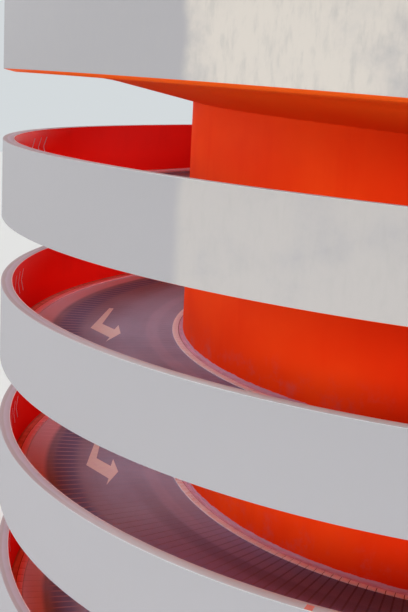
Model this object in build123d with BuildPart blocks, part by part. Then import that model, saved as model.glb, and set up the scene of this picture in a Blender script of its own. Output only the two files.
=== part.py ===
from build123d import *
import os

# Helical ramp tower of a multi storey car park, in millimetres, +Z up.
# The origin lies on the tower's axis at ground level. The photographed front faces -Y.
# Cars drive down counter-clockwise, seen from above. One round trip is one storey.
# Each turn starts and ends above the +X axis, on the side that the photograph doesn't show.

# Helix of the driving lane
storey = 3110
storeys = 5
foot_lip = 100

# Plan of the tower
outer_radius = 10500
parapet_thickness = 250
core_radius = 6260
core_wall = 350

# Parapet wall, above and below the driving surface. Its foot slopes down to the slab's soffit.
parapet_above_lane = 1370
parapet_below_lane = 285
foot_slope = 52

# Ramp slab: level soffit at the parapet, then a straight haunch that deepens towards the core
haunch_depth = 432
haunch_length = 2140
haunch_rounding = 4000

# Driving surface and its low edges. The fill beside the core is drawn up against it.
surfacing = 60
kerb_height = 25
kerb_chamfer = 8
strip_below_kerb = 5
strip_rise = 45
inner_kerb_width = 140
inner_strip_width = 110
outer_kerb_width = 155
outer_strip_width = 180

# Top of the core
core_above_ramp = 1370
roof_slab = 250
roof_upstand = 300

os.makedirs("parts", exist_ok=True)

# Radii where one ring of pieces meets the next
inner_face = outer_radius - parapet_thickness
inner_kerb_back = core_radius + inner_strip_width
inner_lane_edge = inner_kerb_back + inner_kerb_width
outer_kerb_back = inner_face - outer_strip_width
outer_lane_edge = outer_kerb_back - outer_kerb_width

# Heights measured from the driving surface
bed = -surfacing
strip_top = kerb_height - strip_below_kerb
level_soffit = -parapet_below_lane - foot_slope
core_soffit = level_soffit - haunch_depth

# Heights above the ground
ramp_top = foot_lip + storeys * storey
core_top = ramp_top + core_above_ramp


def lower_end(turn):
    """Level of the driving surface at the lower end of a turn, counted from the top."""
    return foot_lip + (storeys - turn) * storey


def one_turn(level):
    """Path of one full turn, rising clockwise from the +X axis."""
    return Helix(storey, storey, outer_radius, center=(0, 0, level), lefthand=True)


def section_plane(level):
    """Upright radial plane through the +X axis: x is the radius, y the height above the lane."""
    return Plane(origin=(0, 0, level), x_dir=(1, 0, 0), z_dir=(0, -1, 0))


def keep_above_ground():
    """The lowest turn runs into the ground, where its pieces are cut level."""
    split(bisect_by=Plane.XY, keep=Keep.TOP)


def save(piece, name):
    piece.part.label = name
    export_step(piece.part, f"parts/{name}.step")


# Ramp slabs: one haunched section carried around the core, rounded where the haunch begins
for turn in range(1, storeys + 1):
    level = lower_end(turn)
    with BuildPart() as ramp_slab:
        with BuildLine():
            one_turn(level)
        with BuildSketch(section_plane(level)):
            with BuildLine():
                Polyline((core_radius, core_soffit), (core_radius, bed), (inner_face, bed),
                         (inner_face, level_soffit), (core_radius + haunch_length, level_soffit), close=True)
            make_face()
            haunch_start = vertices().group_by(Axis.Y)[1].sort_by(Axis.X)[0]
            fillet(haunch_start, radius=haunch_rounding)
        sweep(is_frenet=True)
        keep_above_ground()
    save(ramp_slab, f"ramp_slab_{turn}")

# Driving surface, laid between the two kerbs
for turn in range(1, storeys + 1):
    level = lower_end(turn)
    with BuildPart() as lane_surface:
        with BuildLine():
            one_turn(level)
        with BuildSketch(section_plane(level)):
            with Locations(((inner_lane_edge + outer_lane_edge) / 2, 0)):
                Rectangle(outer_lane_edge - inner_lane_edge, surfacing, align=(Align.CENTER, Align.MAX))
        sweep(is_frenet=True)
    save(lane_surface, f"lane_surface_{turn}")

# Outer parapet walls, hung on the edge of the slab
for turn in range(1, storeys + 1):
    level = lower_end(turn)
    with BuildPart() as parapet:
        with BuildLine():
            one_turn(level)
        with BuildSketch(section_plane(level)):
            with BuildLine():
                Polyline((inner_face, level_soffit), (outer_radius, -parapet_below_lane),
                         (outer_radius, parapet_above_lane), (inner_face, parapet_above_lane), close=True)
            make_face()
        sweep(is_frenet=True)
        keep_above_ground()
    save(parapet, f"parapet_{turn}")

# Kerb stones on both sides of the lane, with a chamfered edge towards the wheels
for turn in range(1, storeys + 1):
    level = lower_end(turn)
    with BuildPart() as inner_kerb:
        with BuildLine():
            one_turn(level)
        with BuildSketch(section_plane(level)):
            with BuildLine():
                Polyline((inner_kerb_back, bed), (inner_lane_edge, bed),
                         (inner_lane_edge, kerb_height - kerb_chamfer),
                         (inner_lane_edge - kerb_chamfer, kerb_height),
                         (inner_kerb_back, kerb_height), close=True)
            make_face()
        sweep(is_frenet=True)
    save(inner_kerb, f"inner_kerb_{turn}")
    with BuildPart() as outer_kerb:
        with BuildLine():
            one_turn(level)
        with BuildSketch(section_plane(level)):
            with BuildLine():
                Polyline((outer_lane_edge, bed), (outer_kerb_back, bed),
                         (outer_kerb_back, kerb_height),
                         (outer_lane_edge + kerb_chamfer, kerb_height),
                         (outer_lane_edge, kerb_height - kerb_chamfer), close=True)
            make_face()
        sweep(is_frenet=True)
    save(outer_kerb, f"outer_kerb_{turn}")

# Fill strips behind the kerbs, against the core and against the parapet
for turn in range(1, storeys + 1):
    level = lower_end(turn)
    with BuildPart() as inner_strip:
        with BuildLine():
            one_turn(level)
        with BuildSketch(section_plane(level)):
            with BuildLine():
                Polyline((core_radius, bed), (inner_kerb_back, bed), (inner_kerb_back, strip_top),
                         (core_radius, strip_top + strip_rise), close=True)
            make_face()
        sweep(is_frenet=True)
    save(inner_strip, f"inner_strip_{turn}")
    with BuildPart() as outer_strip:
        with BuildLine():
            one_turn(level)
        with BuildSketch(section_plane(level)):
            with Locations((outer_kerb_back, bed)):
                Rectangle(outer_strip_width, strip_top - bed, align=(Align.MIN, Align.MIN))
        sweep(is_frenet=True)
    save(outer_strip, f"outer_strip_{turn}")

# Hollow core, poured in one ring a storey, with a lower ring on top
for lift in range(1, storeys + 2):
    foot = (lift - 1) * storey
    head = min(lift * storey, core_top)
    with BuildPart() as core_ring:
        with BuildSketch(Plane.XY.offset(foot)):
            Circle(core_radius)
            Circle(core_radius - core_wall, mode=Mode.SUBTRACT)
        extrude(amount=head - foot)
    save(core_ring, f"core_ring_{lift}")

# Flat roof of the core, poured inside the top ring, whose head stands up around it
with BuildPart() as core_roof:
    with BuildSketch(Plane.XY.offset(core_top - roof_upstand)):
        Circle(core_radius - core_wall)
    extrude(amount=-roof_slab)
save(core_roof, "core_roof")
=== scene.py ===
from math import atan, atan2, cos, hypot, pi, radians, sin, tan

import bpy
from mathutils import Matrix, Vector


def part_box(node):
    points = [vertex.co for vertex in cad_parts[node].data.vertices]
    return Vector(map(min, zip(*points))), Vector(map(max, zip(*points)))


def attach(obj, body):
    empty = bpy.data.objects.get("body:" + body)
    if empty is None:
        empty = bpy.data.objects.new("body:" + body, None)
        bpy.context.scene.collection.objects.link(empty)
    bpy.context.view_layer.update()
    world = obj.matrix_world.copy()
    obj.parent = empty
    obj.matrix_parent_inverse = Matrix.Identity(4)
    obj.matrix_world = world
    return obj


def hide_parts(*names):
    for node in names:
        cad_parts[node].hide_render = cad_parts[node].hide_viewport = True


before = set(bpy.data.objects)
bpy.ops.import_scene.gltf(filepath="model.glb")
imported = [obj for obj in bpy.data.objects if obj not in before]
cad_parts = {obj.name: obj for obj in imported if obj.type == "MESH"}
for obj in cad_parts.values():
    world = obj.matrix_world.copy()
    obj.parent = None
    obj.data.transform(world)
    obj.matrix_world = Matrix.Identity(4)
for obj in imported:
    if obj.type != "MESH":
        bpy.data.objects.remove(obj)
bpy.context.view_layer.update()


# Core wall
# The tower stands on a hollow round core of cast concrete, poured one ring a storey. The
# rings are rubbed flush and painted orange-red, with a painted shade in deeper red on the front
# right. The paint ends ragged where the fill strip beside the lane was smeared against it.

core_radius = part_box("core_ring_1")[1].x
core_wall = core_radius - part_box("core_roof")[1].x
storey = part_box("parapet_1")[0].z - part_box("parapet_2")[0].z
lane_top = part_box("lane_surface_1")[1].z
slab_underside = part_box("ramp_slab_1")[0].z - (lane_top - storey)
fill_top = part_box("inner_strip_1")[1].z - lane_top
rings = [1, 2, 3, 4, 5, 6]
core_arris = 0.012
core_facets = 360
scuffed_heights = (1.0, 0.1)
smear_rise = 0.025
smear_softness = 0.01
smear_foot = (-0.2, -0.1)

# Where the painted shade in deeper red begins, is full, is still full and ends, in shares of a turn
core_painted_shade_stretch = (0.68, 0.745, 0.9, 1.0)

# A noise stays mostly within this span above its low value
noise_low = 0.35
noise_span = 0.3

core_orange = (0.97, 0.078, 0.008)
core_deep_red = (0.86, 0.036, 0.003)
core_painted_shade_red = (0.80, 0.027, 0.002)
core_scuff = (0.68, 0.13, 0.13)
mortar_lilac = (0.62, 0.44, 0.60)


def pick_nothing():
    bpy.ops.object.select_all(action="DESELECT")


def apply_modifiers(piece):
    bpy.context.view_layer.objects.active = piece
    for modifier in list(piece.modifiers):
        bpy.ops.object.modifier_apply(modifier=modifier.name)


def face_outwards():
    """Turns all faces of the active piece outwards."""
    bpy.ops.object.mode_set(mode="EDIT")
    bpy.ops.mesh.select_all(action="SELECT")
    bpy.ops.mesh.normals_make_consistent(inside=False)
    bpy.ops.object.mode_set(mode="OBJECT")


def painted(name, roughness, gloss=0.03):
    """A material with its node tree and its shader."""
    material = bpy.data.materials.new(name)
    material.use_nodes = True
    shader = material.node_tree.nodes["Principled BSDF"]
    shader.inputs["Roughness"].default_value = roughness
    shader.inputs["Specular IOR Level"].default_value = gloss
    return material, material.node_tree, shader


def math_node(tree, operation, first, second=None):
    """The output of a Math node, fed by sockets or numbers."""
    node = tree.nodes.new("ShaderNodeMath")
    node.operation = operation
    for socket, value in zip(node.inputs, (first, second)):
        if value is None:
            continue
        if isinstance(value, (int, float)):
            socket.default_value = value
        else:
            tree.links.new(value, socket)
    return node.outputs[0]


def times(tree, *factors):
    """The product of sockets and numbers."""
    product = factors[0]
    for factor in factors[1:]:
        product = math_node(tree, "MULTIPLY", product, factor)
    return product


def ramp_coordinates(tree):
    """Radius, share of a full turn round the axis, height above the lane and number of the turn.

    The share counts from the +X axis. The number is 0 in the open space above the ramp.
    """
    place = tree.nodes.new("ShaderNodeTexCoord").outputs["Object"]
    axes = tree.nodes.new("ShaderNodeSeparateXYZ")
    tree.links.new(place, axes.inputs[0])
    x, y, z = axes.outputs
    radius = math_node(tree, "SQRT", math_node(tree, "ADD", times(tree, x, x), times(tree, y, y)))
    angle = math_node(tree, "DIVIDE", math_node(tree, "ARCTAN2", y, x), 2 * pi)
    angle = math_node(tree, "FRACT", math_node(tree, "ADD", angle, 1.0))
    depth = math_node(tree, "SUBTRACT", lane_top + storey + slab_underside, z)
    depth = math_node(tree, "SUBTRACT", math_node(tree, "DIVIDE", depth, storey), angle)
    turn = math_node(tree, "CEIL", depth)
    height = times(tree, math_node(tree, "SUBTRACT", turn, depth), storey)
    height = math_node(tree, "ADD", height, slab_underside)
    return radius, angle, height, turn


def noise(tree, scale, detail, roughness=0.55, stretch=(1, 1, 1), vector=None):
    """Noise value on the object's own coordinates, or on a vector, stretched along its axes."""
    mapping = tree.nodes.new("ShaderNodeMapping")
    mapping.inputs["Scale"].default_value = stretch
    if vector is None:
        vector = tree.nodes.new("ShaderNodeTexCoord").outputs["Object"]
    tree.links.new(vector, mapping.inputs["Vector"])
    texture = tree.nodes.new("ShaderNodeTexNoise")
    texture.inputs["Scale"].default_value = scale
    texture.inputs["Detail"].default_value = detail
    texture.inputs["Roughness"].default_value = roughness
    tree.links.new(mapping.outputs[0], texture.inputs["Vector"])
    return texture.outputs["Fac"]


def between(tree, value, start, end):
    """0 where the value is at start, 1 where it is at end, smooth in between."""
    node = tree.nodes.new("ShaderNodeMapRange")
    node.interpolation_type = "SMOOTHSTEP"
    tree.links.new(value, node.inputs["Value"])
    node.inputs["From Min"].default_value = start
    node.inputs["From Max"].default_value = end
    return node.outputs["Result"]


def band(tree, value, edges):
    """1 between the two middle edges, fading to 0 at the outer two."""
    begins, full, still_full, ends = edges
    return times(tree, between(tree, value, begins, full), between(tree, value, ends, still_full))


def mix(tree, share, first, second):
    """A colour between two colours, each given as three numbers or as a socket."""
    node = tree.nodes.new("ShaderNodeMix")
    node.data_type = "RGBA"
    tree.links.new(share, node.inputs[0])
    for socket, colour in ((node.inputs[6], first), (node.inputs[7], second)):
        if isinstance(colour, tuple):
            socket.default_value = (*colour, 1)
        else:
            tree.links.new(colour, socket)
    return node.outputs[2]


def tint(tree, colour, tone, *masks, share=None):
    """Lays a tone over a colour where every mask is 1, in full or by a share."""
    factors = masks if share is None else (*masks, share)
    return mix(tree, times(tree, *factors), colour, tone)


def bump(tree, shader, height, strength, distance):
    """Roughens a surface in its shading alone."""
    node = tree.nodes.new("ShaderNodeBump")
    node.inputs["Strength"].default_value = strength
    node.inputs["Distance"].default_value = distance
    tree.links.new(height, node.inputs["Height"])
    tree.links.new(node.outputs[0], shader.inputs["Normal"])


core_paint, tree, shader = painted("orange-red masonry paint", roughness=0.6)
radius, angle, height, turn = ramp_coordinates(tree)
streaks = noise(tree, scale=1.0, detail=5, roughness=0.6, stretch=(2.2, 2.2, 0.3))
clouds = noise(tree, scale=0.45, detail=3, roughness=0.5)
colour = tint(tree, core_orange, core_deep_red, between(tree, clouds, 0.35, 0.75), share=0.6)
colour = tint(tree, colour, core_deep_red, between(tree, streaks, 0.48, 0.75), share=0.3)
# A painted shade deepens the red on the front right of the core
colour = tint(tree, colour, core_painted_shade_red, band(tree, angle, core_painted_shade_stretch), share=0.75)
spots = noise(tree, scale=2.0, detail=6, roughness=0.7, stretch=(1.2, 1.2, 1.0))
rubbed = between(tree, spots, 0.48, 0.75)
above_a_lane = between(tree, turn, 0.1, 0.9)
scuffs = times(tree, between(tree, height, *scuffed_heights), rubbed, above_a_lane)
colour = tint(tree, colour, core_scuff, scuffs, share=0.5)
ragged = math_node(tree, "SUBTRACT", noise(tree, scale=3.5, detail=6, roughness=0.7), noise_low)
ragged = times(tree, ragged, smear_rise / noise_span)
smear = between(tree, math_node(tree, "SUBTRACT", height, ragged),
                fill_top + smear_softness, fill_top - smear_softness)
beside_lane = times(tree, between(tree, height, *smear_foot), above_a_lane)
colour = tint(tree, colour, mortar_lilac, smear, beside_lane)
tree.links.new(colour, shader.inputs["Base Color"])
bump(tree, shader, noise(tree, scale=30, detail=4), strength=0.25, distance=0.002)

for ring in rings:
    low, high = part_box(f"core_ring_{ring}")
    pick_nothing()
    bpy.ops.mesh.primitive_circle_add(vertices=core_facets, radius=core_radius, location=(0, 0, low.z))
    wall = bpy.context.object
    wall.name = f"core_wall_{ring}"
    bpy.ops.object.mode_set(mode="EDIT")
    bpy.ops.mesh.extrude_region_move(TRANSFORM_OT_translate={"value": (0, 0, high.z - low.z)})
    bpy.ops.object.mode_set(mode="OBJECT")
    face_outwards()
    bpy.ops.object.transform_apply(location=True, rotation=True, scale=True)
    thickness = wall.modifiers.new("Wall", "SOLIDIFY")
    thickness.thickness = core_wall
    thickness.offset = -1
    if ring == rings[-1]:
        arris = wall.modifiers.new("Arris", "BEVEL")
        arris.width = core_arris
        arris.segments = 2
        arris.limit_method = "ANGLE"
    apply_modifiers(wall)
    bpy.ops.object.shade_smooth_by_angle(angle=radians(30))
    wall.data.materials.append(core_paint)
    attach(wall, "root")
    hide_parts(f"core_ring_{ring}")


# Core roof
# A flat concrete slab closes the core inside the head of the wall. It is covered with pale
# cement screed, laid in square bays.

screed_bay = 2.0
screed_joint_width = 0.02
screed_pale = (0.42, 0.42, 0.41)
screed_dark = (0.25, 0.25, 0.24)
screed_joint = (0.12, 0.12, 0.12)

roof_screed, tree, shader = painted("cement screed", roughness=0.85)
patches = noise(tree, scale=0.8, detail=6, roughness=0.6)
colour = mix(tree, between(tree, patches, 0.4, 0.7), screed_pale, screed_dark)
axes = tree.nodes.new("ShaderNodeSeparateXYZ")
tree.links.new(tree.nodes.new("ShaderNodeTexCoord").outputs["Object"], axes.inputs[0])
for axis in (0, 1):
    across_bay = math_node(tree, "PINGPONG", axes.outputs[axis], screed_bay / 2)
    in_joint = math_node(tree, "LESS_THAN", across_bay, screed_joint_width / 2)
    colour = tint(tree, colour, screed_joint, in_joint)
tree.links.new(colour, shader.inputs["Base Color"])
bump(tree, shader, noise(tree, scale=20, detail=6), strength=0.3, distance=0.004)

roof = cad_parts["core_roof"]
roof.data.materials.clear()
roof.data.materials.append(roof_screed)


# Ramp slab
# One haunched section of reinforced concrete winds around the core. Its underside is level
# beside the parapet and slopes down to the core from a soft bend. It is painted orange, with
# redder patches and a painted shade that reddens it towards the core.

turns = [1, 2, 3, 4, 5]
slab_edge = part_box("ramp_slab_1")[1].x
lane_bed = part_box("ramp_slab_1")[1].z - lane_top
level_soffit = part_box("parapet_2")[0].z - (lane_top - 2 * storey)
haunch_depth = level_soffit - slab_underside
haunch_length = 2.14
haunch_rounding = 4.0
haunch_tangent = haunch_rounding * tan(atan(haunch_depth / haunch_length) / 2)
haunch_facets = 12
bend_from_middle = core_radius + haunch_length - (core_radius + slab_edge) / 2
turn_facets = 288
tolerance = 0.001

soffit_orange = (0.99, 0.128, 0.012)
soffit_shade_and_patch_red = (0.98, 0.072, 0.004)
haunch_painted_shade = 0.6
cloud_redness = 0.25


def start_section(name, inner, outer, bottom, top):
    """An upright rectangle above the +X axis, from two radii and two heights beside the lane."""
    pick_nothing()
    middle = ((inner + outer) / 2, 0, (bottom + top) / 2)
    bpy.ops.mesh.primitive_plane_add(size=1, location=middle, rotation=(pi / 2, 0, 0))
    section = bpy.context.object
    section.name = name
    bpy.ops.object.mode_set(mode="EDIT")
    bpy.ops.transform.resize(value=(outer - inner, 1, top - bottom))
    bpy.ops.object.mode_set(mode="OBJECT")
    bpy.ops.object.transform_apply(location=True, rotation=True, scale=True)
    return section


def start_picking(piece, kind):
    """Opens a piece in edit mode, to pick vertices or faces, and leaves it with none picked."""
    bpy.context.view_layer.objects.active = piece
    piece.select_set(True)
    bpy.ops.object.mode_set(mode="EDIT")
    bpy.ops.mesh.select_mode(type=kind)
    bpy.ops.mesh.select_all(action="DESELECT")
    bpy.ops.object.mode_set(mode="OBJECT")


def pick_vertices(piece, wanted):
    """Picks the vertices whose place a test accepts, and leaves the piece in edit mode."""
    start_picking(piece, "VERT")
    for vertex in piece.data.vertices:
        vertex.select = wanted(vertex.co)
    bpy.ops.object.mode_set(mode="EDIT")


def pick_faces(piece, wanted):
    """Picks the faces whose centre and normal a test accepts, and stays in edit mode."""
    start_picking(piece, "FACE")
    for face in piece.data.polygons:
        face.select = wanted(face.center, face.normal)
    bpy.ops.object.mode_set(mode="EDIT")


def close_ends():
    """Fills the open ends of the active piece and turns its faces outwards."""
    bpy.ops.object.mode_set(mode="EDIT")
    bpy.ops.mesh.select_all(action="SELECT")
    bpy.ops.mesh.fill_holes(sides=0)
    bpy.ops.object.mode_set(mode="OBJECT")
    face_outwards()


def wind(section, turn, facets=turn_facets):
    """Carries a section once around the axis, falling by a storey, and closes its two ends."""
    bpy.context.view_layer.objects.active = section
    bpy.ops.object.mode_set(mode="EDIT")
    bpy.ops.mesh.select_all(action="SELECT")
    bpy.ops.mesh.delete(type="ONLY_FACE")
    bpy.ops.mesh.select_all(action="SELECT")
    bpy.ops.transform.translate(value=(0, 0, lane_top - storey * (turn - 1)))
    bpy.ops.object.mode_set(mode="OBJECT")
    screw = section.modifiers.new("Wind", "SCREW")
    screw.angle = 2 * pi
    screw.screw_offset = -storey
    screw.steps = screw.render_steps = facets
    apply_modifiers(section)
    close_ends()


def cut_at_ground(piece):
    """The lowest turn stands on the ground, where it is cut level."""
    bpy.context.view_layer.objects.active = piece
    bpy.ops.object.mode_set(mode="EDIT")
    bpy.ops.mesh.select_all(action="SELECT")
    bpy.ops.mesh.bisect(plane_co=(0, 0, 0), plane_no=(0, 0, 1), use_fill=True, clear_inner=True)
    bpy.ops.object.mode_set(mode="OBJECT")


def inside_slab(place):
    """True between the two radii where a section of the slab starts and ends."""
    return core_radius + tolerance < place.x < slab_edge - tolerance


soffit_paint, tree, shader = painted("orange soffit paint", roughness=0.6)
radius, angle, height, turn = ramp_coordinates(tree)
towards_core = between(tree, radius, slab_edge, core_radius)
clouds = between(tree, noise(tree, scale=0.7, detail=4, roughness=0.5), 0.4, 0.7)
# A painted shade reddens the underside towards the core, and the clouds add redder patches
shade_and_patches = math_node(tree, "ADD", times(tree, towards_core, haunch_painted_shade),
                    times(tree, clouds, cloud_redness))
tree.links.new(mix(tree, shade_and_patches, soffit_orange, soffit_shade_and_patch_red), shader.inputs["Base Color"])
bump(tree, shader, noise(tree, scale=25, detail=4), strength=0.2, distance=0.002)

for turn in turns:
    slab = start_section(f"haunched_slab_{turn}", core_radius, slab_edge, level_soffit, lane_bed)
    pick_vertices(slab, lambda place: place.z < level_soffit + tolerance)
    bpy.ops.mesh.subdivide(number_cuts=1)
    pick_vertices(slab, inside_slab)
    bpy.ops.transform.translate(value=(bend_from_middle, 0, 0))
    pick_vertices(slab, lambda place: place.x < core_radius + tolerance
                  and place.z < level_soffit + tolerance)
    bpy.ops.transform.translate(value=(0, 0, -haunch_depth))
    pick_vertices(slab, inside_slab)
    bpy.ops.mesh.bevel(offset=haunch_tangent, segments=haunch_facets, affect="VERTICES")
    bpy.ops.object.mode_set(mode="OBJECT")
    wind(slab, turn)
    if turn == turns[-1]:
        cut_at_ground(slab)
    bpy.ops.object.shade_smooth_by_angle(angle=radians(30))
    slab.data.materials.append(soffit_paint)
    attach(slab, "root")
    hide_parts(f"ramp_slab_{turn}")


# Lane
# The driving surface is a coloured concrete course on the slab. A radial groove is pressed
# into it about every one and a half degrees, so that tyres grip. Tyres have left two dark
# tracks and dust lies beside the grooves. A painted shade deepens the inner track on one
# stretch of each turn, darkens the lane and its dirty grooves near the core there, and lines
# the foot of the outer kerb. Painted blue skylight tints one stretch of each turn, and the open
# top turn is painted darker and redder, in the look that the walls' red light gives the others.

inner_lane_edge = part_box("inner_kerb_1")[1].x
outer_lane_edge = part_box("lane_surface_1")[1].x
ribs = 228
rib = 2 * pi / ribs
groove_width = 0.018
groove_depth = 0.004
same_angle = 0.0001
weld_distance = 0.0005
arc_stretch = 6.0
dusty_share = 0.20
dust_softness = 0.03

# Each band of the lane: the radii where it begins, is full, is still full and ends
tyre_track = (8.55, 8.85, 9.12, 9.32)
inner_track = (7.15, 7.25, 7.45, 7.70)
clean_track = (6.80, 6.92, 7.08, 7.20)

# The same for the stretch of each turn tinted with painted blue skylight, in shares of a turn
painted_skylight_stretch = (0.61, 0.69, 0.85, 0.98)

# Where a groove begins and is full, in shares of a rib from its middle
groove_side = (0.455, 0.48)

# Where each of these begins and is full: radii, distances from a lane edge, shares of a turn
rosy_rim = (9.35, 9.5)
dirty_grooves = (9.3, 8.0)
core_shade_and_dirt = (1.8, 0.3)
kerb_shade = (0.04, 0.015)
shaded_stretch = (0.60, 0.74)
track_painted_shade_stretch = (0.58, 0.64)

lane_mauve = (0.355, 0.47, 0.68)
lane_violet = (0.30, 0.38, 0.57)
lane_rose = (0.78, 0.76, 0.95)
lane_dark = (0.09, 0.12, 0.22)
lane_painted_skylight_blue = (0.34, 0.44, 0.95)
lane_open_painted_red_shade = (0.34, 0.22, 0.29)
tyre_violet = (0.18, 0.28, 0.56)
groove_dust = (0.55, 0.60, 0.78)
groove_dirt = (0.06, 0.08, 0.14)


def on_ramp(radius, angle, height, turn):
    """The point at a radius, an angle and a height above the lane, on one turn."""
    fall = storey * (turn - 1 + angle / (2 * pi))
    return Vector((radius * cos(angle), radius * sin(angle), lane_top - fall + height))


def repeat_round(piece, count, joined):
    """Copies a piece along its whole turn, each copy a step round and a step down."""
    bpy.ops.object.empty_add(location=(0, 0, -storey / count), rotation=(0, 0, 2 * pi / count))
    step = bpy.context.object
    copies = piece.modifiers.new("Repeat", "ARRAY")
    copies.count = count
    copies.use_relative_offset = False
    copies.use_object_offset = True
    copies.offset_object = step
    copies.use_merge_vertices = joined
    copies.merge_threshold = weld_distance
    apply_modifiers(piece)
    bpy.data.objects.remove(step)


def at_mouth(place, normal):
    """True for the two side faces of the first rib, which its neighbours cover."""
    return any(abs(atan2(place.y, place.x) - mouth) < same_angle for mouth in (0, rib))


lane_paint, tree, shader = painted("grooved coloured concrete", roughness=0.7)
radius, angle, height, turn = ramp_coordinates(tree)
arcs = tree.nodes.new("ShaderNodeCombineXYZ")
tree.links.new(radius, arcs.inputs[0])
tree.links.new(times(tree, angle, arc_stretch), arcs.inputs[1])
tree.links.new(height, arcs.inputs[2])
worn_arcs = noise(tree, scale=2.2, detail=5, roughness=0.6, stretch=(1, 0.5, 1), vector=arcs.outputs[0])
patches = noise(tree, scale=0.5, detail=5, roughness=0.6)
grain = noise(tree, scale=60, detail=3, roughness=0.7)
colour = mix(tree, between(tree, patches, 0.35, 0.7), lane_mauve, lane_violet)
# Painted blue skylight tints one stretch of each turn, as it falls in the shade there
colour = tint(tree, colour, lane_painted_skylight_blue, band(tree, angle, painted_skylight_stretch), share=0.85)
colour = tint(tree, colour, lane_dark, between(tree, worn_arcs, 0.5, 0.8), share=0.12)
colour = tint(tree, colour, lane_rose, between(tree, radius, *rosy_rim), share=0.85)
painted_shade_side = between(tree, angle, *shaded_stretch)
# A faint inner tyre track, deepened by a painted shade along one stretch of each turn
with_painted_light = times(tree, between(tree, angle, *track_painted_shade_stretch), 0.25)
with_painted_light = math_node(tree, "ADD", with_painted_light, 0.06)
colour = tint(tree, colour, lane_dark, band(tree, radius, inner_track), with_painted_light)
colour = tint(tree, colour, lane_rose, band(tree, radius, clean_track), share=0.10)

# 0 in the middle of a rib, 0.5 in the middle of a groove
from_rib = math_node(tree, "FRACT", times(tree, angle, float(ribs)))
from_rib = math_node(tree, "ABSOLUTE", math_node(tree, "SUBTRACT", from_rib, 0.5))
in_groove = between(tree, from_rib, *groove_side)
dust_begins = 0.5 - dusty_share / 2
dusty = between(tree, from_rib, dust_begins - dust_softness, dust_begins + dust_softness)
track = times(tree, band(tree, radius, tyre_track), between(tree, worn_arcs, 0.15, 0.4))
colour = tint(tree, colour, tyre_violet, track, share=0.93)
dust = times(tree, math_node(tree, "ADD", times(tree, track, 0.5), 0.12), dusty)
colour = tint(tree, colour, groove_dust, dust)
colour = tint(tree, colour, groove_dirt, in_groove, between(tree, radius, *dirty_grooves), share=0.12)
# Near the core, on one stretch of each turn, a painted shade darkens the lane, and shade and dirt its
# grooves
near_core = between(tree, radius, *(inner_lane_edge + distance for distance in core_shade_and_dirt))
colour = tint(tree, colour, lane_dark, near_core, painted_shade_side, share=0.85)
colour = tint(tree, colour, groove_dirt, near_core, painted_shade_side, dusty, share=0.8)
# A painted shade darkens the lane in the corner beside the outer kerb
painted_shade_at_kerb = between(tree, radius, *(outer_lane_edge - distance for distance in kerb_shade))
colour = tint(tree, colour, lane_dark, painted_shade_at_kerb, share=0.3)
colour = tint(tree, colour, lane_rose, between(tree, grain, 0.45, 0.75), share=0.12)
# The open top turn is painted darker and redder, in the look that the walls' red light gives the
# covered turns
under_open_sky = between(tree, turn, 1.9, 1.1)
colour = tint(tree, colour, lane_open_painted_red_shade, under_open_sky, share=0.65)
tree.links.new(colour, shader.inputs["Base Color"])
bump(tree, shader, grain, strength=0.4, distance=0.003)

for turn in turns:
    pick_nothing()
    bpy.ops.mesh.primitive_grid_add(x_subdivisions=3, y_subdivisions=1, size=2)
    lane = bpy.context.object
    lane.name = f"grooved_lane_{turn}"
    columns = sorted({round(vertex.co.x, 3) for vertex in lane.data.vertices})
    for vertex in lane.data.vertices:
        column = columns.index(round(vertex.co.x, 3))
        edge = outer_lane_edge if vertex.co.y > 0 else inner_lane_edge
        lip = groove_width / 2 / edge
        along = (0, lip, rib - lip, rib)[column]
        vertex.co = on_ramp(edge, along, 0 if column in (1, 2) else -groove_depth, turn)
    bpy.ops.object.mode_set(mode="EDIT")
    bpy.ops.mesh.select_all(action="SELECT")
    bpy.ops.mesh.extrude_region_move(TRANSFORM_OT_translate={"value": (0, 0, lane_bed + groove_depth)})
    bpy.ops.object.mode_set(mode="OBJECT")
    pick_faces(lane, at_mouth)
    bpy.ops.mesh.delete(type="FACE")
    bpy.ops.object.mode_set(mode="OBJECT")
    repeat_round(lane, ribs, joined=True)
    close_ends()
    lane.data.materials.append(lane_paint)
    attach(lane, "root")
    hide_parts(f"lane_surface_{turn}")


# Lane arrows
# One arrow a turn, cut from white road marking film and rolled hot onto the ribs, so that it
# dips into the grooves. It points down the ramp and turns towards the core.

film = 0.003
first_arrow = 172.5
arrow_shift = 5.4

# Corners of an arrow: the radius, and the degrees down the ramp from its tail
arrow_outline = [(8.243, 0), (8.358, 0), (8.470, 14.1), (8.022, 19.7), (8.127, 22.1), (7.749, 17.0),
                 (7.823, 11.5), (7.896, 14.6), (8.222, 11.2)]
film_white = (0.80, 0.97, 1.0)
film_worn = (0.66, 0.76, 0.92)


def flat_outline(name, corners):
    """A flat face with the given corners, whose x and y are worked into ramp places later."""
    pick_nothing()
    bpy.ops.mesh.primitive_circle_add(vertices=len(corners), fill_type="NGON")
    piece = bpy.context.object
    piece.name = name
    for vertex, corner in zip(piece.data.vertices, corners):
        vertex.co = (*corner, 0)
    return piece


def cut_along_radii(piece, angles):
    """Cuts a flat outline along lines that run out from the axis."""
    bpy.ops.object.mode_set(mode="EDIT")
    for angle in angles:
        bpy.ops.mesh.select_all(action="SELECT")
        bpy.ops.mesh.bisect(plane_co=(0, 0, 0), plane_no=(-sin(angle), cos(angle), 0))
    bpy.ops.object.mode_set(mode="OBJECT")


def thicken(piece, thickness):
    """Gives a sheet its thickness, on the side that its faces look to."""
    sheet = piece.modifiers.new("Film", "SOLIDIFY")
    sheet.thickness = thickness
    sheet.offset = 1
    apply_modifiers(piece)


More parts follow.
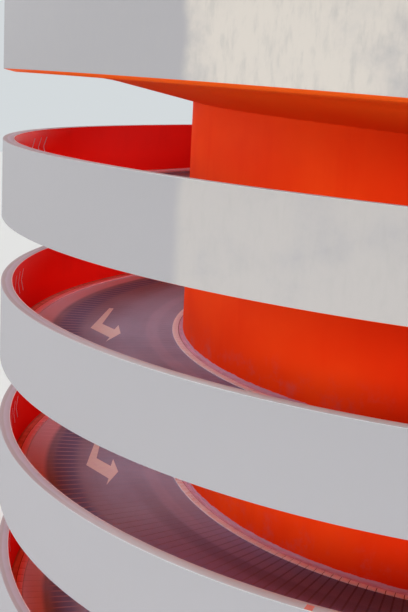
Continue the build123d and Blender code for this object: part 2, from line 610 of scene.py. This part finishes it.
film_paint, tree, shader = painted("road marking film", roughness=0.5)
worn = between(tree, noise(tree, scale=6, detail=6, roughness=0.7), 0.45, 0.75)
colour = tint(tree, film_white, film_worn, worn, share=0.35)
tree.links.new(colour, shader.inputs["Base Color"])
bump(tree, shader, noise(tree, scale=60, detail=3), strength=0.3, distance=0.002)

for turn in turns:
    start = radians(first_arrow + arrow_shift * (turn - 1))
    end = start + radians(max(angle for radius, angle in arrow_outline))
    arrow = flat_outline(f"lane_arrow_{turn}", [
        (radius * cos(start + radians(angle)), radius * sin(start + radians(angle)))
        for radius, angle in arrow_outline])
    lip = groove_width / 2 / arrow_outline[0][0]
    grooves = [rib * number for number in range(ribs) if start < rib * number < end]
    cut_along_radii(arrow, [groove + side * lip for groove in grooves for side in (-1, 0, 1)])
    for vertex in arrow.data.vertices:
        radius, angle = vertex.co.xy.length, atan2(vertex.co.y, vertex.co.x) % (2 * pi)
        in_groove = any(abs(angle - groove) < lip / 2 for groove in grooves)
        vertex.co = on_ramp(radius, angle, -groove_depth if in_groove else 0, turn)
    face_outwards()
    if sum(face.normal.z for face in arrow.data.polygons) < 0:
        arrow.data.flip_normals()
    thicken(arrow, film)
    arrow.data.materials.append(film_paint)
    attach(arrow, "root")


# Parapet
# A cast wall hangs on the edge of the slab. Outside it is plastered and painted grey, with
# trowel streaks, and painted warm sunlight, which brings the streaks out, lies on the front
# right of the upper turns. It is red beside the lane, with a painted shade low down, and
# orange underneath. Its top is trowelled pale lilac grey, with a painted shade in darker grey
# on its outer part along a wavy line, a painted highlight along its inner arris, and painted
# light towards the front right.

parapet_inside = slab_edge
parapet_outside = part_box("parapet_1")[1].x
parapet_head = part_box("parapet_1")[1].z - lane_top
foot_slope = 0.052
head_arris = 0.012
cap_wave = 0.05
lilac_share = 0.6
cap_parting = parapet_inside + lilac_share * (parapet_outside - parapet_inside) + cap_wave / 2
parting_softness = 0.02
arris_highlight_reach = (0.028, 0.014)
shaded_heights = (0.6, 0.08)
facing_up, facing_down, facing_in = 0.5, -0.9, -0.5

# Where the painted sunlight on the plaster and the painted light on the top begin or end, in
# shares of a turn, and the turns over which the painted sunlight fades out
sunlight_raggedness = 0.004
sunlight_begins = (0.687, 0.691)
sunlight_ends = (0.99, 0.92)
sunlit_turns = (2.7, 1.2)
cap_painted_light_begins = (0.62, 0.70)

plaster_grey = (0.322, 0.318, 0.331)
plaster_low_grey = (0.362, 0.356, 0.376)
plaster_sunlit = (0.520, 0.486, 0.444)
plaster_dirt = (0.36, 0.35, 0.34)
cap_lilac = (0.54, 0.54, 0.63)
cap_painted_shade_grey = (0.46, 0.43, 0.46)
cap_arris_highlight = (0.88, 0.87, 0.92)
cap_painted_light = (0.71, 0.86, 0.90)
inside_red = (0.99, 0.008, 0.001)
inside_red_stain_and_shade = (0.80, 0.004, 0.001)


def paint_faces(piece, coats, coat, wanted):
    """Gives one of the piece's coats to the faces that a test accepts."""
    pick_faces(piece, wanted)
    piece.active_material_index = coats.index(coat)
    bpy.ops.object.material_slot_assign()
    bpy.ops.object.mode_set(mode="OBJECT")


plaster_paint, tree, shader = painted("pale grey plaster paint", roughness=0.75)
radius, angle, height, turn = ramp_coordinates(tree)
strokes = noise(tree, scale=1.0, detail=5, roughness=0.6, stretch=(9, 9, 2.5))
mottles = noise(tree, scale=0.9, detail=6, roughness=0.6)
# Painted warm sunlight on the front right of the upper turns, with stronger trowel streaks where it
# falls
ragged_angle = math_node(tree, "ADD", angle, times(tree, mottles, sunlight_raggedness))
painted_sunlight = times(tree, between(tree, ragged_angle, *sunlight_begins),
                 between(tree, angle, *sunlight_ends), between(tree, turn, *sunlit_turns))
colour = mix(tree, between(tree, turn, 0.5, 4.0), plaster_grey, plaster_low_grey)
colour = tint(tree, colour, plaster_sunlit, painted_sunlight, between(tree, mottles, 0.15, 0.55))
stroke_strength = math_node(tree, "ADD", times(tree, painted_sunlight, 0.35), 0.12)
colour = tint(tree, colour, plaster_dirt, between(tree, strokes, 0.45, 0.75), stroke_strength)
tree.links.new(colour, shader.inputs["Base Color"])
trowelled = noise(tree, scale=5.0, detail=6, roughness=0.6, stretch=(1, 1, 0.4))
bump(tree, shader, trowelled, strength=0.4, distance=0.008)

cap_paint, tree, shader = painted("parapet top", roughness=0.75)
radius, angle, height, turn = ramp_coordinates(tree)
patches = noise(tree, scale=1.2, detail=5, roughness=0.6)
# A painted shade in darker grey covers the outer part of the top, along a wavy line
wavy = math_node(tree, "ADD", radius, times(tree, patches, cap_wave))
outer_painted_shade = between(tree, wavy, cap_parting - parting_softness, cap_parting + parting_softness)
colour = mix(tree, outer_painted_shade, cap_lilac, cap_painted_shade_grey)
# A painted highlight along the inner arris of the top
inner_arris_highlight = between(tree, radius, *(parapet_inside + distance for distance in arris_highlight_reach))
colour = tint(tree, colour, cap_arris_highlight, inner_arris_highlight)
# Painted light makes the top paler towards the front right
colour = tint(tree, colour, cap_painted_light, between(tree, angle, *cap_painted_light_begins), share=0.8)
tree.links.new(colour, shader.inputs["Base Color"])
bump(tree, shader, noise(tree, scale=12, detail=5), strength=0.3, distance=0.004)

inside_paint, tree, shader = painted("red parapet paint", roughness=0.55)
radius, angle, height, turn = ramp_coordinates(tree)
stains = noise(tree, scale=0.8, detail=5, roughness=0.6, stretch=(1, 1, 0.4))
stained = between(tree, stains, 0.45, 0.8)
# Stains, and a painted shade low down beside the lane, darken the red
painted_shade_low = between(tree, height, *shaded_heights)
stain_and_shade = math_node(tree, "MAXIMUM", times(tree, stained, 0.5), times(tree, painted_shade_low, 0.6))
tree.links.new(mix(tree, stain_and_shade, inside_red, inside_red_stain_and_shade), shader.inputs["Base Color"])
bump(tree, shader, noise(tree, scale=20, detail=5), strength=0.2, distance=0.003)

for turn in turns:
    parapet = start_section(f"parapet_wall_{turn}", parapet_inside, parapet_outside,
                            level_soffit, parapet_head)
    pick_vertices(parapet, lambda place: place.x > parapet_inside + tolerance
                  and place.z < level_soffit + tolerance)
    bpy.ops.transform.translate(value=(0, 0, foot_slope))
    pick_vertices(parapet, lambda place: place.x > parapet_inside + tolerance
                  or place.z > parapet_head - tolerance)
    bpy.ops.mesh.bevel(offset=head_arris, segments=3, affect="VERTICES")
    bpy.ops.object.mode_set(mode="OBJECT")
    wind(parapet, turn)
    if turn == turns[-1]:
        cut_at_ground(parapet)
    bpy.ops.object.shade_smooth_by_angle(angle=radians(35))
    coats = [plaster_paint, cap_paint, inside_paint, soffit_paint]
    for coat in coats:
        parapet.data.materials.append(coat)
    paint_faces(parapet, coats, cap_paint, lambda place, normal: normal.z > facing_up)
    paint_faces(parapet, coats, soffit_paint, lambda place, normal: normal.z < facing_down)
    paint_faces(parapet, coats, inside_paint, lambda place, normal: abs(normal.z) <= facing_up
                and normal.xy.dot(place.xy) < facing_in)
    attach(parapet, "root")
    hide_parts(f"parapet_{turn}")


# Chevrons and cap patch
# Three thin pale chevrons of reflecting tape warn drivers on the inner face of each turn's
# parapet. A short piece of orange tape lies across the top of the fourth turn's parapet.

chevron_start = {1: 177.0, 2: 181.8, 3: 191.8, 4: 194.1, 5: 199.0}
chevron_steps = (0, 2.2, 5.1)
chevron_reach = 1.3
chevron_foot, chevron_point, chevron_head = 0.635, 0.945, 1.18
tape_width = 0.040
tape = 0.002
patched_turn = 4
patch_angles = (261.2, 261.9)
patch_width = 0.17
patch_edge = 0.015
tape_pale = (0.90, 0.86, 0.88)
tape_orange = (0.95, 0.24, 0.12)

chevron_tape, tree, shader = painted("reflecting tape", roughness=0.35)
worn = noise(tree, scale=9, detail=4)
tree.links.new(mix(tree, worn, tape_pale, film_worn), shader.inputs["Base Color"])
patch_tape, tree, shader = painted("orange tape", roughness=0.45)
worn = noise(tree, scale=9, detail=4)
tree.links.new(tint(tree, tape_orange, film_worn, worn, share=0.4), shader.inputs["Base Color"])

for turn in turns:
    for number, step in enumerate(chevron_steps, start=1):
        start = chevron_start[turn] + step
        width = tape_width / parapet_inside / radians(1)
        chevron = flat_outline(f"chevron_{turn}_{number}", [
            (start, chevron_foot), (start + width, chevron_foot),
            (start + chevron_reach + width, chevron_point), (start + width, chevron_head),
            (start, chevron_head), (start + chevron_reach, chevron_point)])
        for vertex in chevron.data.vertices:
            angle, height = vertex.co.xy
            vertex.co = on_ramp(parapet_inside, radians(angle), height, turn)
        if chevron.data.polygons[0].normal.xy.dot(chevron.data.polygons[0].center.xy) > 0:
            chevron.data.flip_normals()
        thicken(chevron, tape)
        chevron.data.materials.append(chevron_tape)
        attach(chevron, "root")

far = parapet_outside - patch_edge
near = far - patch_width
patch = flat_outline("cap_patch", [(near, patch_angles[0]), (far, patch_angles[0]),
                                   (far, patch_angles[1]), (near, patch_angles[1])])
for vertex in patch.data.vertices:
    radius, angle = vertex.co.xy
    vertex.co = on_ramp(radius, radians(angle), parapet_head, patched_turn)
thicken(patch, tape)
patch.data.materials.append(patch_tape)
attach(patch, "root")


# Kerbs
# Low cast stones in a tinted mix line both sides of the lane, bedded in mortar with open
# joints, and stand out of it by only 25 mm. Those beside the core are shorter and almost white.
# Painted light tints their lane side, with a pink glow on the outer kerb.

kerb_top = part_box("inner_kerb_1")[1].z - lane_top
inner_kerb_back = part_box("inner_strip_1")[1].x
outer_kerb_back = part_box("outer_kerb_1")[1].x
kerb_arris = 0.006
mortar_set_back = 0.012
inner_stones = 228
outer_stones = 188
inner_joint = 0.014
outer_joint = 0.010
lane_face_reach = 0.06
lane_face_softness = 0.01
stone_difference = 0.35
stone_mottling = 0.5

stone_lilac = (0.86, 0.95, 0.99)
stone_lilac_worn = (0.78, 0.76, 0.92)
stone_salmon = (0.97, 0.46, 0.52)
stone_salmon_worn = (0.88, 0.42, 0.48)
stone_painted_glow_pink = (0.86, 0.52, 0.62)
joint_dark = (0.05, 0.03, 0.04)

joint_mortar, tree, shader = painted("kerb mortar", roughness=0.9)
grit = noise(tree, scale=40, detail=3)
tree.links.new(mix(tree, grit, joint_dark, groove_dirt), shader.inputs["Base Color"])


def kerb_stone_material(name, fresh, worn, with_painted_light, lane_edge, count):
    """Cast stone whose tint differs a little from one stone to the next, with painted light on its lane
    side.
    """
    material, tree, shader = painted(name, roughness=0.8)
    radius, angle, height, turn = ramp_coordinates(tree)
    number = math_node(tree, "FLOOR", times(tree, angle, float(count)))
    chance = tree.nodes.new("ShaderNodeTexWhiteNoise")
    chance.noise_dimensions = "2D"
    which_stone = tree.nodes.new("ShaderNodeCombineXYZ")
    tree.links.new(number, which_stone.inputs[0])
    tree.links.new(turn, which_stone.inputs[1])
    tree.links.new(which_stone.outputs[0], chance.inputs["Vector"])
    mottled = times(tree, noise(tree, scale=8, detail=5, roughness=0.6), stone_mottling)
    share = math_node(tree, "ADD", times(tree, chance.outputs["Value"], stone_difference), mottled)
    colour = mix(tree, share, fresh, worn)
    # Painted light on the lane side of the stones: a pink glow on the outer kerb, the fresh pale tone
    # on the inner
    from_lane = math_node(tree, "ABSOLUTE", math_node(tree, "SUBTRACT", radius, lane_edge))
    lane_face_light = between(tree, from_lane, lane_face_reach + lane_face_softness, lane_face_reach - lane_face_softness)
    tree.links.new(tint(tree, colour, with_painted_light, lane_face_light), shader.inputs["Base Color"])
    bump(tree, shader, noise(tree, scale=45, detail=4), strength=0.4, distance=0.003)
    return material


inner_stone = kerb_stone_material("lilac kerb stone", stone_lilac, stone_lilac_worn, stone_lilac,
                                  inner_lane_edge, inner_stones)
outer_stone = kerb_stone_material("salmon kerb stone", stone_salmon, stone_salmon_worn, stone_painted_glow_pink,
                                  outer_lane_edge, outer_stones)


def kerb(name, turn, inner, outer, count, joint, material):
    """One turn of kerb stones on their mortar."""
    pick_nothing()
    bpy.ops.mesh.primitive_cube_add(size=2)
    stone = bpy.context.object
    for vertex in stone.data.vertices:
        corner = vertex.co.copy()
        edge = outer if corner.x > 0 else inner
        gap = joint / 2 / edge
        along = 2 * pi / count - gap if corner.y > 0 else gap
        vertex.co = on_ramp(edge, along, kerb_top if corner.z > 0 else lane_bed, turn)
    high = on_ramp(inner, 0, kerb_top, turn).z
    pick_vertices(stone, lambda place: place.z > high - (kerb_top - lane_bed) / 2)
    bpy.ops.mesh.bevel(offset=kerb_arris, segments=2, affect="EDGES")
    bpy.ops.object.mode_set(mode="OBJECT")
    bpy.ops.object.shade_smooth_by_angle(angle=radians(40))
    repeat_round(stone, count, joined=False)
    stone.data.materials.append(material)
    bed = start_section("mortar", inner + mortar_set_back, outer - mortar_set_back, lane_bed,
                        kerb_top - mortar_set_back)
    wind(bed, turn)
    bed.data.materials.append(joint_mortar)
    pick_nothing()
    bed.select_set(True)
    stone.select_set(True)
    bpy.context.view_layer.objects.active = stone
    bpy.ops.object.join()
    stone.name = name
    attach(stone, "root")
    return stone


for turn in turns:
    stones = kerb(f"inner_kerb_stones_{turn}", turn, inner_kerb_back, inner_lane_edge, inner_stones,
                  inner_joint, inner_stone)
    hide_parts(f"inner_kerb_{turn}")
    stones = kerb(f"outer_kerb_stones_{turn}", turn, outer_lane_edge, outer_kerb_back, outer_stones,
                  outer_joint, outer_stone)
    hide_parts(f"outer_kerb_{turn}")


# Fill strips
# Mortar fills the gap between each kerb and the wall behind it. It was floated by hand, so
# it lies uneven, and it was drawn up against the core. A painted shade darkens it beside the parapet.

strip_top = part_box("outer_strip_1")[1].z - lane_top
strip_facets = 720
strip_cuts = 4
strip_unevenness = 0.008

# Where each of these begins and is full: distances from the kerb, the parapet and the core
kerb_gap_dark = (0.02, 0.008)
parapet_shade = (0.07, 0.01)
smear_reach = (0.03, 0.015)

strip_mauve = (0.75, 0.62, 0.84)
strip_violet = (0.60, 0.48, 0.66)
strip_brown = (0.80, 0.34, 0.30)
strip_dark_brown = (0.62, 0.24, 0.21)

lumps = bpy.data.textures.new("floated mortar", "CLOUDS")
lumps.noise_scale = 0.12
lumps.noise_depth = 3


def fill_material(name, fresh, weathered, kerb_back):
    """Mortar in two tones, darker along the back of the kerb, with a painted shade beside the parapet.
    """
    material, tree, shader = painted(name, roughness=0.9)
    radius, angle, height, turn = ramp_coordinates(tree)
    patches = noise(tree, scale=3.5, detail=6, roughness=0.65)
    colour = mix(tree, between(tree, patches, 0.35, 0.7), fresh, weathered)
    from_kerb = math_node(tree, "ABSOLUTE", math_node(tree, "SUBTRACT", radius, kerb_back))
    # Darker along the back of the kerb
    colour = tint(tree, colour, joint_dark, between(tree, from_kerb, *kerb_gap_dark), share=0.6)
    smeared = between(tree, radius, *(core_radius + distance for distance in smear_reach))
    colour = tint(tree, colour, mortar_lilac, smeared)
    # A painted shade darkens the mortar beside the parapet
    painted_shade_at_parapet = between(tree, radius, *(parapet_inside - distance for distance in parapet_shade))
    colour = tint(tree, colour, joint_dark, painted_shade_at_parapet, share=0.4)
    tree.links.new(colour, shader.inputs["Base Color"])
    bump(tree, shader, noise(tree, scale=40, detail=5), strength=0.5, distance=0.004)
    return material


inner_fill = fill_material("mauve mortar", strip_mauve, strip_violet, inner_kerb_back)
outer_fill = fill_material("brown mortar", strip_brown, strip_dark_brown, outer_kerb_back)


def float_by_hand(strip, name, vertices, strength):
    """Lowers the given vertices unevenly, by up to the given height."""
    surface = strip.vertex_groups.new(name=name)
    surface.add(vertices, 1.0, "REPLACE")
    uneven = strip.modifiers.new(name, "DISPLACE")
    uneven.texture = lumps
    uneven.direction = "Z"
    uneven.strength = strength
    uneven.mid_level = 1.0
    uneven.vertex_group = name
    apply_modifiers(strip)


def fill_strip(name, turn, inner, outer, rise, material):
    """One turn of mortar between two radii, drawn up by a rise at its inner edge."""
    strip = start_section(name, inner, outer, lane_bed, strip_top)
    pick_vertices(strip, lambda place: place.z > strip_top - tolerance)
    bpy.ops.mesh.subdivide(number_cuts=strip_cuts)
    pick_vertices(strip, lambda place: place.x < inner + tolerance and place.z > strip_top - tolerance)
    bpy.ops.transform.translate(value=(0, 0, rise))
    bpy.ops.object.mode_set(mode="OBJECT")
    wind(strip, turn, strip_facets)
    reach = [hypot(vertex.co.x, vertex.co.y) for vertex in strip.data.vertices]
    middle = [index for index, radius in enumerate(reach)
              if inner + tolerance < radius < outer - tolerance]
    float_by_hand(strip, "floated", middle, strip_unevenness)
    if rise:
        against_wall = [index for index, radius in enumerate(reach) if radius < inner + tolerance
                        and strip.data.vertices[index].co.z > on_ramp(
                            radius, atan2(*strip.data.vertices[index].co.yx) % (2 * pi), 0, turn).z]
        float_by_hand(strip, "smeared", against_wall, rise)
    bpy.ops.object.shade_smooth_by_angle(angle=radians(30))
    strip.data.materials.append(material)
    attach(strip, "root")
    return strip


for turn in turns:
    strip = fill_strip(f"inner_fill_{turn}", turn, core_radius, inner_kerb_back,
                       fill_top - strip_top, inner_fill)
    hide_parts(f"inner_strip_{turn}")
    strip = fill_strip(f"outer_fill_{turn}", turn, outer_kerb_back, parapet_inside, 0, outer_fill)
    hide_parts(f"outer_strip_{turn}")


# Studio
# A pale floor and a pale sky stand behind the tower. Soft lamps stand low all around, so that
# light gets in under the slabs, and one large lamp hangs overhead. Two more shine up from
# below the floor, which casts no shadow, and light the undersides as bounced light does.

floor_reach = 400
floor_pale = (0.86, 0.86, 0.85)
sky_pale = (0.66, 0.70, 0.72)

# Each lamp's bearing and elevation in degrees, the light that it gives a surface that faces it,
# and the width of its disc in degrees
lamps = {
    "right": (30, 8, 0.66, 24),
    "behind": (90, 8, 0.34, 24),
    "high_behind": (150, 25, 0.50, 24),
    "left": (180, 8, 0.48, 24),
    "left_in_front": (230, 5, 0.10, 16),
    "right_in_front": (288, 12, 0.56, 16),
    "overhead": (0, 88, 0.33, 40),
    "left_below": (235, -16, 0.14, 24),
    "right_below": (300, -15, 0.32, 24),
}

pick_nothing()
bpy.ops.mesh.primitive_circle_add(vertices=64, radius=floor_reach, fill_type="NGON")
floor = bpy.context.object
floor.name = "floor"
floor_paint, tree, shader = painted("pale floor", roughness=0.9)
shader.inputs["Base Color"].default_value = (*floor_pale, 1)
floor.data.materials.append(floor_paint)
floor.visible_shadow = False

world = bpy.data.worlds.new("even sky")
bpy.context.scene.world = world
world.use_nodes = True
tree = world.node_tree
light = tree.nodes["Background"]
light.inputs["Color"].default_value = (1, 1, 1, 1)
light.inputs["Strength"].default_value = 0
seen = tree.nodes.new("ShaderNodeBackground")
seen.inputs["Color"].default_value = (*sky_pale, 1)
ray = tree.nodes.new("ShaderNodeLightPath")
shown = math_node(tree, "MAXIMUM", ray.outputs["Is Camera Ray"], ray.outputs["Is Glossy Ray"])
shown = math_node(tree, "MAXIMUM", shown, ray.outputs["Is Transmission Ray"])
blend = tree.nodes.new("ShaderNodeMixShader")
tree.links.new(shown, blend.inputs[0])
tree.links.new(light.outputs[0], blend.inputs[1])
tree.links.new(seen.outputs[0], blend.inputs[2])
tree.links.new(blend.outputs[0], tree.nodes["World Output"].inputs["Surface"])

for name, (bearing, elevation, level, softness) in lamps.items():
    pick_nothing()
    bpy.ops.object.light_add(type="SUN", rotation=(0, radians(90 - elevation), radians(bearing)))
    lamp = bpy.context.object
    lamp.name = name
    lamp.data.energy = pi * level
    lamp.data.angle = radians(softness)


# Viewpoint
# The camera stands about level with the top of the second turn's parapet, looks to the left of
# the axis and a little down, and leans to one side as the photograph does.

camera_distance = 2.3089 * parapet_outside
camera_above_head = 0.01255 * parapet_outside
camera_yaw = -0.24011
camera_pitch = -0.17601
camera_roll = 0.05015
focal_pixels = 981.0
image_height = 612
sensor = 36
sight = 1000

head_on_left = lane_top + parapet_head - 1.5 * storey
ahead = Vector((sin(camera_yaw) * cos(camera_pitch), cos(camera_yaw) * cos(camera_pitch),
                sin(camera_pitch)))
sideways = Vector((cos(camera_yaw), -sin(camera_yaw), 0))
upright = sideways.cross(ahead)
right = sideways * cos(camera_roll) + upright * sin(camera_roll)
up = upright * cos(camera_roll) - sideways * sin(camera_roll)
aim = Matrix((right, up, -ahead)).transposed().to_4x4()

pick_nothing()
bpy.ops.object.camera_add()
camera = bpy.context.object
stand = Matrix.Translation((0, -camera_distance, head_on_left + camera_above_head))
camera.matrix_world = stand @ aim
camera.data.lens = focal_pixels / image_height * sensor
camera.data.sensor_width = sensor
camera.data.clip_end = sight
bpy.context.scene.camera = camera
bpy.context.scene.view_settings.view_transform = "Standard"
